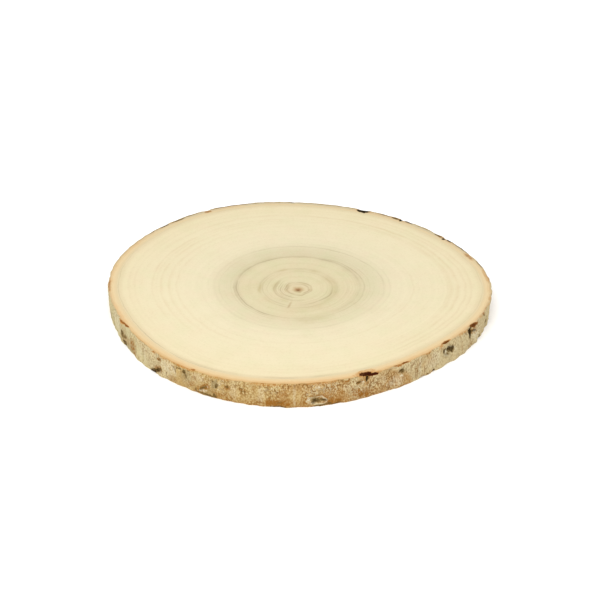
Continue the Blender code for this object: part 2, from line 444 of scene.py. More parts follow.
woodSmudges = (  # bearing from the pith, distance, length along the ring, width across it, strength
    (178, 20, 8, 1.8, 1), (162, 20, 6, 1.6, 0.5), (110, 22.4, 5, 1.8, 1), (90, 20.6, 7, 1.8, 0.5),
    (67, 21.4, 7, 3.2, 0.7), (40, 18.8, 8, 4, 0.55), (24, 19, 9, 4.6, 0.6), (6, 19.2, 9, 5, 0.6),
    (348, 18.8, 8, 4.2, 0.55), (330, 17.8, 8, 3, 0.5), (300, 19, 12, 5, 0.5), (155, 13.4, 8, 2.4, 0.55),
    (178, 12.6, 8, 1.8, 0.5), (236, 12.6, 7, 1.8, 0.7), (215, 18.5, 9, 2.4, 0.5), (266, 21, 14, 5, 0.35),
    (283, 30.5, 15, 7, 0.7), (188, 6.2, 3.4, 1.6, 1), (140, 7.2, 3.6, 1.4, 0.7), (4, 6.2, 2.6, 1.8, 1),
    (62, 7.2, 5, 1.4, 0.7), (205, 9.6, 3, 1.4, 0.9), (124, 37, 12, 2.5, 0.35),
)


def ringPoint(share, turn, level):
    # A point on the growth ring at share of the way from pith to cambium. Ring centres drift from the pith
    # to the stem's own centre, radii grow evenly, and the stem's swellings come in towards the outside.
    drift = (1 - np.exp(-3 * share)) / (1 - math.exp(-3))
    evenRadius = stem["meanRadius"] - stem["barkWidth"]
    swelling = outline(turn, level) - barkWidth(turn) - evenRadius
    wobble = 0
    for count, height, phase in wood["wobbles"]:
        wobble = wobble + height * mm * np.cos(count * turn + phase + 9 * share)
    shown = smooth(share / 0.06) * np.exp(-share / wood["wobbleFades"])
    radius = evenRadius * share + swelling * share ** 2 + wobble * shown
    x = stem["pith"][0] * (1 - drift) + radius * np.cos(turn)
    y = stem["pith"][1] * (1 - drift) + radius * np.sin(turn)
    return x, y


def makeWood(middle, material):
    # Rings of points from the pith out over the top face, down the hidden wall at the cambium, and back
    # over the underside. ringPoint gives each ring its place, the waves and marks its height.
    turn = np.linspace(0, tau, wood["around"], endpoint=False)[None]
    topShare = (np.arange(1, wood["topRings"] + 1) / wood["topRings"]) ** wood["crowding"]
    bottomShare = (np.arange(wood["bottomRings"], 0, -1) / wood["bottomRings"]) ** wood["crowding"]
    share = np.concatenate([topShare, bottomShare])[:, None]
    onTop = (np.arange(len(share)) < wood["topRings"])[:, None]
    level = np.where(onTop, 1.0, 0.0)
    x, y = ringPoint(share, turn, level)

    fromPith = np.hypot(x - stem["pith"][0], y - stem["pith"][1])
    bearing = np.arctan2(y - stem["pith"][1], x - stem["pith"][0])
    offCheck = fromPith * np.angle(np.exp(1j * (bearing - math.radians(wood["checkDirection"]))))
    checkStart = smooth((fromPith - wood["checkFrom"]) / wood["checkFadesIn"])
    checkEnd = smooth((wood["checkTo"] - fromPith) / wood["checkFadesOut"])
    check = checkStart * checkEnd * np.exp(-(offCheck / (wood["checkWidth"] / 2)) ** 2)
    hollow = wood["pithHollow"] * np.exp(-(fromPith / wood["pithRadius"]) ** 2)
    wave = wood["sandingWaves"] * (1 + patches(turn + 0 * share, share + 0 * turn, 9, 7, 21)) / 2
    arcs = np.hypot(x - wood["sawCentre"][0], y - wood["sawCentre"][1])
    strokes = 0.5 + 0.5 * np.cos(tau * arcs / wood["sawSpacing"])
    strokes = strokes * (0.6 + 0.4 * np.cos(arcs / wood["sawSwell"]))
    top = topHeight - wave - wood["checkDepth"] * check - hollow
    z = np.where(onTop, top, wood["sawMarks"] * strokes + hollow + 0.3 * wave)

    smudge = 0 * x
    for direction, distance, length, width, strength in woodSmudges:
        along = distance * mm * np.angle(np.exp(1j * (bearing - math.radians(direction))))
        reach = (2 * along / (length * mm)) ** 2 + (2 * (fromPith - distance * mm) / (width * mm)) ** 2
        smudge = smudge + strength * np.exp(-reach)

    grid = np.stack([x - middle[0], y - middle[1], z], axis=-1)
    pithX, pithY = stem["pith"][0] - middle[0], stem["pith"][1] - middle[1]
    poles = np.array([[pithX, pithY, topHeight - wood["pithHollow"]], [pithX, pithY, wood["pithHollow"]]])
    points = np.concatenate([grid.reshape(-1, 3), poles])
    rows, around = grid.shape[:2]
    last = rows * around
    col = np.arange(around)
    nextCol = (col + 1) % around
    topFan = np.stack([np.full(around, last), col, nextCol], axis=-1)
    lowest = (rows - 1) * around
    bottomFan = np.stack([lowest + nextCol, lowest + col, np.full(around, last + 1)], axis=-1)
    faces = gridFaces(rows, around, False).tolist() + topFan.tolist() + bottomFan.tolist()

    attributes = {
        "growth": np.append((wood["reach"] * share + 0 * turn).ravel(), [0, 0]),
        "under": np.append((1 - level + 0 * turn).ravel(), [0, 1]),
        "smudge": np.append((smudge * level).ravel(), [0, 0]),
        "check": np.append((check * level).ravel(), [0, 0]),
    }
    slots = np.zeros(len(faces), np.int32)
    return newPiece("sawnWood", points, faces, attributes, [material], slots, 60)


def woodFinish(middle):
    # Cream poplar: a tone for each distance from the pith, darkened by the stained heart, the ring lines,
    # olive smudges and the drying crack, with fine lines between the rings and short flecks.
    material, tree, shader = startMaterial("sawnPoplar", 0.6, 0.25)
    light = wood["light"]
    growth, under, smudge, check = attributesOf(tree, "growth", "under", "smudge", "check")
    objectSpace = put(tree, "ShaderNodeTexCoord").outputs["Object"]
    toPith = (middle[0] - stem["pith"][0], middle[1] - stem["pith"][1], 0)
    fromPith = put(tree, "ShaderNodeMapping", {"Vector": objectSpace, "Location": toPith}).outputs[0]
    flat = vectorOf(tree, "MULTIPLY", fromPith, (1, 1, 0))

    blur = noiseOf(tree, flat, 110.0, 4.0)
    waver = rangeOf(tree, blur, 0.2, 0.8, -1.0, 1.0, "LINEAR")
    uneven = mathOf(tree, "MULTIPLY_ADD", waver, rangeOf(tree, growth, 0.0, 9.0, 0.1, 0.5), growth)
    along = mathOf(tree, "DIVIDE", uneven, float(wood["reach"]))
    stops = [(place / wood["reach"], linear(*colour, light)) for place, colour in woodTones]
    colour = rampOf(tree, along, stops)

    # The stain round the heart: darkest behind the pith just outside the bold ring, frayed along the rays
    fromHeart = vectorOf(tree, "SUBTRACT", flat, (*wood["heart"], 0))
    heartRadius = put(tree, "ShaderNodeVectorMath", {0: fromHeart}, operation="LENGTH").outputs[1]
    rays = unitOf(tree, flat)
    fray = noiseOf(tree, rays, 5.0, 4.0)
    ragged = rangeOf(tree, fray, 0.25, 0.75, -wood["heartFrays"], wood["heartFrays"], "LINEAR")
    edge = rangeOf(tree, mathOf(tree, "ADD", heartRadius, ragged), *wood["heartFades"], 1.0, 0.0)
    inside = rangeOf(tree, uneven, 29.0, 36.0)
    behind = vectorOf(tree, "DOT_PRODUCT", rays, (0, 1, 0), 1)
    side = rangeOf(tree, behind, -0.8, 0.8, 0.45, 1.0)
    band = times(tree, times(tree, edge, inside), side)
    colour = mixOf(tree, times(tree, band, 0.6), colour, (0.87, 0.88, 0.85, 1.0), "MULTIPLY")

    # Faint changes of hue, greener here and rosier there, strongest in the heart
    within = rangeOf(tree, uneven, 30.0, 60.0, 0.6, 0.35)
    for place, tint in (((0, 0, 0), (0.93, 0.985, 0.92, 1.0)), ((0.4, 0.2, 0), (1.0, 0.945, 0.955, 1.0))):
        moved = vectorOf(tree, "ADD", flat, place)
        hue = noiseOf(tree, moved, 90.0, 3.0)
        share = times(tree, rangeOf(tree, hue, 0.42, 0.68), within)
        colour = mixOf(tree, share, colour, tint, "MULTIPLY")

    # Fine lines between the named rings, stronger in some patches than in others
    fine = groupNode(tree, fineLines, {"Along": uneven, "Per Millimetre": 0.45, "Offset": 3.0})
    veryFine = groupNode(tree, fineLines, {"Along": uneven, "Per Millimetre": 1.6, "Offset": 40.0})
    lines = mathOf(tree, "MULTIPLY_ADD", fine, 0.6, times(tree, veryFine, 0.4))
    broad = noiseOf(tree, flat, 24.0, 2.0)
    amount = rangeOf(tree, broad, 0.35, 0.65, 0.02, 0.07)
    toneDown = times(tree, mathOf(tree, "SUBTRACT", 1.0, lines), amount)
    colour = mixOf(tree, toneDown, colour, linear(176, 152, 110, light))

    total = 0.0
    for place, width, darkness, direction, spread, elsewhere in woodRings:
        given = {"Growth": uneven, "Coordinates": flat, "At": place, "Width": width}
        given["Towards"] = towardsOf(direction)
        line = groupNode(tree, growthRing, {**given, "Spread": spread, "Elsewhere": elsewhere})
        total = mathOf(tree, "MULTIPLY_ADD", line, darkness, total)
    outward = rangeOf(tree, growth, 8.0, 24.0)
    lineTone = mixOf(tree, outward, linear(150, 112, 74, light), linear(158, 138, 104, light))
    outer = times(tree, rangeOf(tree, growth, 50.0, 60.0), rangeOf(tree, growth, 90.0, 88.0))
    lineTone = mixOf(tree, outer, lineTone, linear(206, 168, 108, light))
    colour = mixOf(tree, times(tree, total, 0.44), colour, lineTone)

    mottled = rangeOf(tree, blur, 0.35, 0.65, 0.5, 1.2)
    olive = times(tree, times(tree, smudge, mottled), 0.38)
    colour = mixOf(tree, olive, colour, linear(184, 160, 96, light))
    colour = mixOf(tree, times(tree, check, 0.5), colour, linear(172, 136, 88, light))

    # Short flecks of the fibre, and a duller underside
    fleck = groupNode(tree, fibreFleck, {"Coordinates": fromPith, "Stretch": (1, 1, 0.2), "Scale": 900.0})
    colour = mixOf(tree, rangeOf(tree, fleck, 0.6, 1.0, 0.0, 0.07), colour, linear(190, 165, 120, light))
    colour = mixOf(tree, times(tree, under, 0.18), colour, linear(205, 180, 135, light))

    roughness = rangeOf(tree, fleck, 0.0, 1.0, 0.52, 0.68, "LINEAR")
    height = mathOf(tree, "MULTIPLY_ADD", lines, 0.5, times(tree, fleck, 0.5))
    finishWith(tree, shader, colour, roughness, height, 0.3, 0.05 * mm)
    return material


# The ring of bark and bast

bark = {
    "around": 2400,
    "rimRows": 9,
    "sideRows": 26,
    "underRows": 5,
    "edge": 0.25 * mm,
    "light": 1.30,  # light on the sides, so that the colours below are as they look
    "rimLight": 1.42,
    "seed": 11,
    "ribs": ((17, 0.16 * mm), (34, 0.13 * mm), (61, 0.13 * mm), (93, 0.11 * mm)),
    "ribWander": 1.1,
    "scurfWaves": 14,
    "scurf": 0.05 * mm,
    "scurfRound": (25, 120),
    "scurfUp": (0.6, 2.2),
    "inset": 0.12 * mm,  # the finer relief starts this far inside the solid's own surface
    "fibre": 0.035 * mm,
    "grain": 0.04 * mm,
    "plate": 0.10 * mm,
    "farSide": (8, 172),
    "farPores": 13,
    "farNicks": 4,
    "farStains": 16,
    "foot": 0.5,  # how brown the foot of the bark is on the near side
    "lipHeight": 0.12 * mm,  # what is pale stands out, and what is dark lies deeper
    "darkDepth": 0.3 * mm,
    "reliefFades": 1.2 * mm,  # the relief fades out over the rim
    "footFrom": 6.5,  # millimetres below the edge
    "footOver": 5,
    "flakeDepth": 0.15 * mm,
    "flakeCuts": (1.3, 0.9),  # how far a flake cuts into the flat and along the wall, for each mm of sink
    "tornDepth": 0.22 * mm,
    "tornReach": 0.35 * mm,
    "bastLayer": 0.9 * mm,
    "bastSinks": (0.06, 0.05),  # millimetres, everywhere and where a layer is softest
    "margin": 0.01 * mm,  # kept inside the solid's own box
}

pores = (  # where, below the top, width, height, depth
    (191, 6.4, 3.2, 3, 0.5), (203, 6.6, 4.5, 3.4, 0.6), (210, 8.6, 4, 3, 0.3), (224, 9.8, 6, 4.8, 1),
    (235, 5.6, 2.6, 4.8, 0.5), (243, 9.5, 8, 3.5, 0.7), (254, 4.4, 3.2, 2.6, 0.3), (275, 9.1, 9, 5, 1.1),
    (303, 3.6, 3.8, 2.8, 0.6), (323, 4.9, 6.8, 4.4, 1.1), (343, 1.8, 3, 2.4, 0.4),
    (346, 8, 4.2, 3.2, 0.4),
)

splits = (  # where, top end, bottom end, half width, how far the arms of its fork stand apart, depth
    (291, 0.0, 3.0, 0.5, 0.0, 0.8),
    (334, 1.0, 7.2, 0.6, 1.5, 1.1),
)

topFlakes = (  # where, width, how far the edge is set in
    (6, 12, 0.4), (19, 12, 0.4), (32.5, 3.5, 0.6), (37, 9.5, 0.4), (51.3, 3, 0.7), (67, 9, 0.4),
    (121.8, 5, 0.5), (138, 8.5, 0.3), (179, 12, 0.3), (204, 11, 0.8), (239, 5.5, 0.5), (291, 12.5, 1.3),
    (303, 11, 0.7), (322, 9, 0.9), (336, 8, 0.9),
)

bottomNicks = (  # where, width, how far the edge is set in
    (205, 5.0, 0.8),
    (311, 5.0, 0.8),
    (340, 4.5, 0.5),
)

stains = {  # by kind: where, below the edge, width, height, tilt, strength. Broad and soft
    "rust": (
        (210, 7.5, 7, 7.5, 0, 0.75), (211.5, 10.8, 3, 2.5, 0, 0.7), (203.5, 7.5, 10, 9, 15, 0.35),
        (196, 4, 3, 9, 40, 0.25), (230, 10.8, 6, 3.5, 0, 0.5), (240, 10.5, 8, 4, 25, 0.6),
        (248, 10.5, 12, 4.5, 0, 0.6), (257, 2.5, 2.5, 5, 0, 0.4), (256, 11.5, 10, 3, 0, 0.4),
        (264, 10.4, 14, 5, 0, 1.2), (272, 11.4, 9, 3, 0, 0.7), (265, 5.6, 6, 4, 0, 0.5),
        (271, 9, 2.5, 6, 0, 0.7), (280, 10.8, 12, 3.5, 0, 1), (282.5, 6.5, 4, 5, 0, 0.5),
        (278, 7, 5, 3, 0, 0.5), (284.6, 1.6, 3, 2, 0, 0.8), (289, 9.4, 10, 5, -10, 1),
        (286, 6.5, 3, 4, 0, 0.6), (298, 8, 6, 5, 0, 0.2), (308.7, 7.5, 2.6, 8, 0, 0.3),
        (329.3, 7, 1.6, 6, 0, 0.35), (334, 10, 5, 3.5, 0, 0.4),
    ),
    "grey": (
        (189, 8, 6, 6, 0, 0.8), (204, 4.5, 6, 6, 30, 0.25), (207.5, 10.6, 13, 4, 0, 0.55),
        (222, 6, 10, 5, 0, 0.2), (235.6, 4.5, 6, 7, 0, 0.75), (242.5, 10.5, 7, 2.5, 0, 0.6),
        (303, 4, 6, 4, 0, 0.35), (322, 5, 9, 6, 0, 0.4), (346.5, 8, 5, 5, 0, 0.6),
    ),
    "paleAndHighlight": (
        (215, 7, 1.6, 9, 0, 0.25), (217.5, 7, 1.6, 9, 0, 0.3), (229, 4.5, 9, 8, 0, 0.5),
        (197, 5, 13, 9, 0, 0.4), (240, 3, 6, 4, 0, 0.35), (251, 7, 4, 8, 0, 0.25),
        (259, 6, 3, 9, 0, 0.25), (268.6, 6, 1.4, 11, 0, 0.28), (284, 4.5, 4, 4, 0, 0.2),
        (296, 5, 4, 5, 0, 0.15), (301, 8.5, 9, 6, 0, 0.35), (310.2, 6, 1.4, 12, 0, 0.4),
        (316, 6, 9, 8, 0, 0.3), (338, 7.5, 9, 6, 0, 0.4),
    ),
    "scaly": (
        (236, 7, 10, 9, 0, 0.4), (246, 5, 12, 8, 0, 0.7), (263, 3.5, 9, 5, 0, 0.6), (277, 4, 15, 8, 0, 1),
        (288, 7, 13, 9, 0, 0.9), (299, 8, 10, 7, 0, 0.5),
    ),
}

marks = {  # the same, small and sharp. Below is less than 0 on the rim of the top face
    "flake": (
        (4, -0.3, 8, 0.9, 0, 0.3), (18.8, -1.8, 7, 2, 0, 0.42), (34.5, -1.3, 3, 1.2, 0, 0.4),
        (121.8, -1.9, 3.8, 2.4, 0, 0.5), (180.2, -0.6, 11, 1.4, 0, 0.4), (203.6, 0, 8, 1.3, 3, 0.62),
        (205.4, -0.5, 3.4, 1.5, 3, 0.8), (238.1, -0.8, 2.4, 1.8, 0, 0.5), (290.4, -1.3, 6.8, 3.6, 0, 1.3),
        (290.2, -0.6, 5.4, 1.8, 0, 1.4), (291.6, 0.2, 10, 2.2, -9, 1.4),
        (304.2, -0.2, 4.4, 1.7, -4, 0.75), (301.6, 0.2, 5, 1.5, 0, 0.5), (322, -0.7, 5.4, 2.6, 0, 0.9),
        (336.4, 0.6, 7.6, 3.2, -16, 0.9), (343.8, 1, 5, 1.5, -35, 0.45),
    ),
    "orange": (
        (5.6, -0.9, 14, 2.2, 0, 0.6), (18.8, -1.8, 10, 2.6, 0, 0.7), (32, -0.9, 15, 2.6, 0, 0.5),
        (52, -0.9, 15, 2.6, 0, 0.45), (66.8, -1.3, 9, 3.6, 0, 0.5), (121.8, -1.9, 5, 3.2, 0, 0.6),
        (138, -0.9, 14, 1.6, 0, 0.35), (180, -0.6, 15, 2, 0, 0.5), (203, 0.1, 12, 1.8, 7, 0.95),
        (214, -0.3, 12, 0.8, 0, 0.35), (222.3, 0.7, 4.5, 1.6, 15, 0.5), (226.7, 0.2, 4.5, 1.4, 0, 0.6),
        (231, -0.1, 8, 0.8, 0, 0.5), (235, 0.2, 10, 1.5, 0, 0.8), (238.1, -0.8, 3.2, 2, 0, 1),
        (247, 0.4, 11, 1.2, 0, 0.45), (261, 0.5, 17, 1.6, 0, 0.5), (277, 0.4, 16, 1.4, 0, 0.5),
        (290.4, -2, 12, 5.6, 4, 1), (294.3, -0.3, 5, 1.6, 0, 0.8), (303, 0.1, 11, 1.2, 0, 0.95),
        (313, 0.1, 7, 0.7, 0, 0.5), (319.7, 0.3, 4.5, 1.8, 20, 0.8), (322.3, -0.8, 7, 2, 0, 0.9),
        (329.6, 0.2, 8, 1.6, 0, 0.65), (336, 0.1, 8, 2.6, -14, 0.9), (341.6, 0.6, 5, 1.8, -10, 0.6),
        (347, -0.2, 9, 0.9, 0, 0.5), (352, -0.5, 4, 1.2, 0, 0.7),
    ),
    # The thin rows along the bottom edge, about 11.7 to 12.2 mm below the top, are partly painted contact
    # shadow under the bark and partly dark specks.
    "darkAndShadow": (
        (13, -0.2, 9, 0.9, 0, 0.5), (25, -0.1, 15, 1, 0, 0.75), (30.6, -0.2, 4.4, 1.8, 0, 1.1),
        (32.7, -1.1, 2, 2.8, 0, 1.1), (35.8, -0.9, 6, 1.7, 0, 0.7), (48.9, -0.3, 6, 1.8, 0, 0.95),
        (52, -1, 2, 2.8, 0, 1.2), (54.2, -1, 6, 2.2, 0, 0.6), (58.5, -0.3, 7, 1.2, 0, 0.6),
        (66.8, -1.5, 7.2, 4, 0, 1.5), (76, -0.1, 9, 0.7, 0, 0.35), (83.5, -0.1, 1.6, 1.4, 0, 0.4),
        (92.4, -0.4, 3.2, 1.4, 0, 0.6), (112, -0.3, 26, 1, 0, 0.65), (127.6, -0.5, 8, 1.1, 0, 0.5),
        (132.6, -0.8, 9, 1.6, 0, 0.6), (138.6, -0.3, 6, 2, 0, 0.85), (143.5, -0.1, 9, 1, 0, 0.5),
        (188.6, 8.2, 4, 3.4, 0, 0.7), (202, 7.2, 2, 4.4, 20, 0.8), (203.6, 8.2, 4.6, 1.6, 15, 0.6),
        (205, 6.4, 3.6, 1.6, 30, 0.5), (204, 11.2, 5, 2, 0, 0.85), (222, 11.6, 6, 2.6, 18, 1),
        (224, 9.8, 5.4, 2.4, 40, 0.75), (225.3, 8.2, 2.6, 1.8, 40, 0.65), (225.1, 2.7, 2.6, 1.3, 35, 0.6),
        (227.6, 8.8, 0.9, 0.9, 0, 0.6), (231.8, 4.2, 0.8, 2.6, 0, 0.65), (232.2, 2.4, 1.6, 0.9, 0, 0.6),
        (233.4, 2.1, 2.8, 1.1, 10, 0.75), (234.8, 3.2, 2.2, 3, -15, 0.8), (235.2, 5.4, 1.3, 2.6, 0, 0.85),
        (230.9, 3.4, 1, 3, 0, 0.55), (238.6, 4.6, 0.8, 1.6, 0, 0.5), (241.4, 8.4, 6.2, 1.4, 38, 0.75),
        (242.2, 11.7, 9.5, 1.2, -3, 0.7), (244.6, 2.8, 1.4, 1.5, -40, 0.55),
        (245.8, 5, 1.5, 3.6, -15, 0.75), (236.4, 1.6, 1.8, 0.9, 0, 0.5), (238.9, 10.6, 0.9, 3.4, 8, 0.6),
        (245, 11.2, 2.6, 1.6, -30, 0.7), (247.4, 1.7, 1.2, 0.7, 0, 0.5), (249, 4.6, 1.8, 1.7, 0, 0.7),
        (253.4, 3.9, 2.4, 0.6, 0, 0.6), (253.8, 5.6, 2.4, 0.6, 0, 0.6), (264.2, 9.8, 2.4, 1, 0, 0.5),
        (264, 12.2, 9, 0.8, 0, 0.7), (263.4, 4.8, 1.4, 0.8, 0, 0.5), (275, 9.9, 4.6, 1.9, -6, 0.85),
        (274.2, 10.4, 2.4, 1.4, 0, 0.9), (277, 9.3, 4.4, 1.2, 0, 0.85), (276.6, 11.9, 9, 0.9, 4, 0.8),
        (281, 12.1, 8, 0.6, 3, 0.6), (287.9, 3.2, 2.8, 1.1, 5, 0.95), (290.7, 2, 1.5, 3.4, -14, 1.4),
        (302.9, 3.9, 3.4, 2.1, -14, 0.78), (304.6, 5.6, 0.9, 0.9, 0, 0.5), (308.2, 7.5, 0.6, 6, 0, 0.3),
        (309.3, 8, 0.6, 6, 0, 0.35), (313.2, 1.8, 0.6, 1.8, 0, 0.5), (313.4, 11.9, 1.8, 0.8, 0, 0.7),
        (316.2, 11.9, 2.4, 1, 0, 0.85), (320.9, 4.2, 2.3, 3.4, -30, 0.95),
        (322.3, 6.9, 2.2, 0.9, -12, 0.9), (324.2, 5, 3.7, 3.7, -20, 0.95), (341, 11.6, 2.2, 1.2, 0, 0.7),
        (334.4, 4.8, 1.6, 5.6, 0, 1.2), (333, 1.5, 3, 0.7, -42, 0.45), (336, 4, 4.8, 1.4, -16, 1),
        (344.6, 2.6, 3, 1.4, -35, 0.6), (346.4, 8, 2.2, 1.6, 0, 0.6), (350.5, 5, 1.4, 2, 0, 0.5),
    ),
    "rust": (
        (206.4, 7.4, 4.6, 5.6, 20, 0.45), (204.2, 9.8, 5, 1.6, 10, 0.5), (225, 2.6, 3.6, 2.2, 35, 1.1),
        (224.1, 9, 7, 4.2, 38, 0.9), (222.2, 0.8, 3, 1, 20, 0.9), (227.4, 0.5, 2.2, 0.9, 20, 0.7),
        (232.5, 0.6, 3, 0.8, 0, 0.6), (241.8, 8, 7.5, 2.8, 38, 1), (242.8, 6.6, 3, 2.6, 0, 0.9),
        (238.4, 4.3, 2.6, 2.6, 0, 0.7), (237.4, 8.6, 4, 3, 20, 0.55), (249.1, 4.8, 3, 2.9, 0, 1),
        (283.9, 1.6, 4.6, 1.5, 0, 1), (253.6, 4.8, 3.6, 2.8, 0, 0.6), (290.4, 1.8, 3.6, 4.8, 0, 0.4),
        (336.2, 4.2, 7.5, 3.4, -18, 0.8), (332.8, 1.4, 4.5, 2.4, -30, 0.6), (288.2, 3.2, 4.2, 2, 5, 1.1),
        (301.8, 3, 3.4, 2.2, -14, 0.55),
    ),
    "grey": (
        (245.3, 4.4, 3.2, 5.6, -20, 1), (273.6, 8.4, 3.4, 2.4, 0, 0.6), (302.7, 4, 4.4, 2.8, 0, 0.3),
        (322, 5.4, 5, 4.6, 0, 0.8), (334.6, 4.6, 5, 4.6, 0, 0.25),
    ),
    # Mostly painted highlights: the white glints on the lips and edges of pores, scars and notches, as at
    # 226, 243, 273, 289, 303 and 322 degrees.
    "paleAndHighlight": (
        (225.9, 1.6, 0.9, 0.9, 0, 1), (224.6, 10.6, 1.2, 0.8, 30, 0.9), (242.9, 6.7, 0.9, 0.9, 0, 1),
        (241.3, 10.2, 4, 1, 10, 0.7), (246.9, 3.6, 0.9, 1.6, 0, 0.35), (272.7, 8.3, 1.4, 2.2, 20, 0.9),
        (275.6, 2.4, 2.2, 1.2, 20, 0.6), (277.4, 3.6, 1.2, 1.8, 0, 0.6), (289.3, 3.3, 1.6, 1, 0, 0.9),
        (302.6, 6.1, 2, 1.2, 0, 0.9), (322.3, 4.7, 1.4, 3, -22, 1.7), (321, 6.6, 2, 1, -30, 0.5),
        (337.4, 6.8, 4.4, 1.8, -15, 0.7),
    ),
}

lips = {  # the same again, but only the outline of the ellipse is drawn
    # A pale ring round each of the two large pores, partly pale rim and partly painted highlight on the
    # raised lip.
    "paleAndHighlight": (
        (275.2, 9.4, 9.2, 4, -4, 0.6), (323.8, 6, 7, 4.8, -8, 0.5),
    ),
    "rust": (
        (275, 9.6, 11.6, 5.9, -4, 1.1), (242.8, 6.7, 2.8, 2.4, 0, 1.3),
    ),
}

maskNames = ("darkAndShadow", "grey", "paleAndHighlight", "rust", "flake", "orange", "scaly")


def farSideMarks(draw):
    # The unseen side has pores and nicks of the same kinds, drawn at the solid's own places, with stains
    # between them.
    start, end = bark["farSide"]
    farPores, farNicks = [], []
    farMarks, farStains = ({name: [] for name in maskNames} for _ in range(2))
    for n in range(bark["farPores"]):
        degrees = start + (end - start) * (n + draw.uniform(0.15, 0.85)) / bark["farPores"]
        width = draw.uniform(3.0, 7.5)
        below = draw.uniform(2.5, 10.0)
        tall = width * draw.uniform(0.5, 0.8)
        sink = width * draw.uniform(0.11, 0.16)
        farPores.append((degrees, below, width, tall, sink))
        farMarks["darkAndShadow"].append((degrees, below, 0.6 * width, 0.45 * tall, 40 * sink, 0.5 + 0.9 * sink))
        farMarks["grey"].append((degrees, below, width, 0.9 * tall, 0, 0.6))
        # A pale cap on each pore's upper lip: a painted highlight, as on the near side's pores.
        farMarks["paleAndHighlight"].append((degrees + 0.6, below - 0.5 * tall, 0.7 * width, 0.3 * tall, -20, 0.7))
        farMarks["rust"].append((degrees - 0.8, below + 0.6 * tall, 1.2 * width, 0.6 * tall, 15, 0.7))
    for _ in range(bark["farNicks"]):
        farNicks.append((draw.uniform(start, end), draw.uniform(4.0, 7.0), draw.uniform(0.4, 0.9)))
    other = random.Random(bark["seed"] + 1)
    for n in range(bark["farStains"]):
        kind = ("rust", "grey", "paleAndHighlight", "scaly")[n % 4]
        degrees = start + (end - start) * (n + other.uniform(0, 1)) / bark["farStains"]
        wide, depth, tall = other.uniform(5, 14), other.uniform(3, 11), other.uniform(4, 8)
        farStains[kind].append((degrees, depth, wide, tall, 0, other.uniform(0.4, 0.8)))
    return farPores, farNicks, farMarks, farStains


def ribbed(turn, level, draw):
    # Upright ribs, each row of which drifts sideways with height at its own pace.
    relief = np.zeros(np.broadcast(turn, level).shape)
    for count, height in bark["ribs"]:
        phase = draw.uniform(0, tau)
        drift = draw.uniform(-bark["ribWander"], bark["ribWander"])
        swell = 0.7 + 0.3 * np.cos(3 * turn + draw.uniform(0, tau))
        relief += height * swell * np.cos(count * turn + phase + drift * level)
    return relief


def scurfy(turn, level, draw):
    # Low slanting waves, which add up to shallow lumps with no direction of their own.
    relief = np.zeros(np.broadcast(turn, level).shape)
    for _ in range(bark["scurfWaves"]):
        count = draw.randint(*bark["scurfRound"])
        rise = draw.choice((-1, 1)) * draw.uniform(*bark["scurfUp"])
        relief += bark["scurf"] * np.cos(count * turn + tau * rise * level + draw.uniform(0, tau))
    return relief


def poreRelief(turn, below, table):
    # Each pore is a dish with a raised lip: depth times (reach - 1) times e to the minus reach,
    # where reach is the squared distance in ellipses.
    relief = 0 * (turn + below)
    for degrees, depth, width, tall, sink in table:
        reach = (2 * alongRim(turn, degrees) / (width * mm)) ** 2 + (2 * (below / mm - depth) / tall) ** 2
        relief = relief + sink * mm * (reach - 1) * np.exp(-reach)
    return relief


def splitMarks(turn, level, drop, masks):
    # Each split is a shallow groove with a narrow dark crack in it, which forks towards the top.
    relief = 0 * (turn + level)
    for degrees, start, end, half, fork, sink in splits:
        across = alongRim(turn, degrees) / mm + 0.35 * patches(turn, level, 200, 8, 8)
        share = (drop / mm - start) / (end - start)
        groove = np.exp(-((across / 1.1) ** 2) - (2 * share - 1) ** 4)
        off = np.abs(np.abs(across) - fork * np.clip(1 - share / 0.45, 0, 1))
        thin = half * np.clip(1.25 - share, 0.2, 1)
        ends = smooth((share + 0.1) / 0.1) * smooth((1.1 - share) / 0.2)
        gap = smooth(1.6 - off / thin) * ends
        relief = relief - sink * mm * (0.6 * groove + 0.4 * gap)
        masks["darkAndShadow"] = np.maximum(masks["darkAndShadow"], 1.2 * gap)
    return relief


def paint(masks, table, turn, drop, ragged, softness, hollow=False):
    # Every row is a ragged ellipse, tilted so that more than 0 rises with the angle. It fades out over
    # softness where reach, the squared distance in ellipses, is 1. A hollow one keeps only the line
    # along that edge.
    rows = [(kind, *row) for kind, group in table.items() for row in group]
    for kind, degrees, depth, width, tall, tilt, strength in rows:
        across, down, slant = alongRim(turn, degrees) / mm, drop / mm - depth, math.radians(tilt)
        p = across * math.cos(slant) - down * math.sin(slant)
        q = down * math.cos(slant) + across * math.sin(slant)
        reach = (2 * p / width) ** 2 + (2 * q / tall) ** 2 + 1.4 * ragged
        shape = np.exp(-(((reach - 1) / softness) ** 2)) if hollow else smooth(0.5 + (1 - reach) / softness)
        masks[kind] = np.maximum(masks[kind], strength * shape)


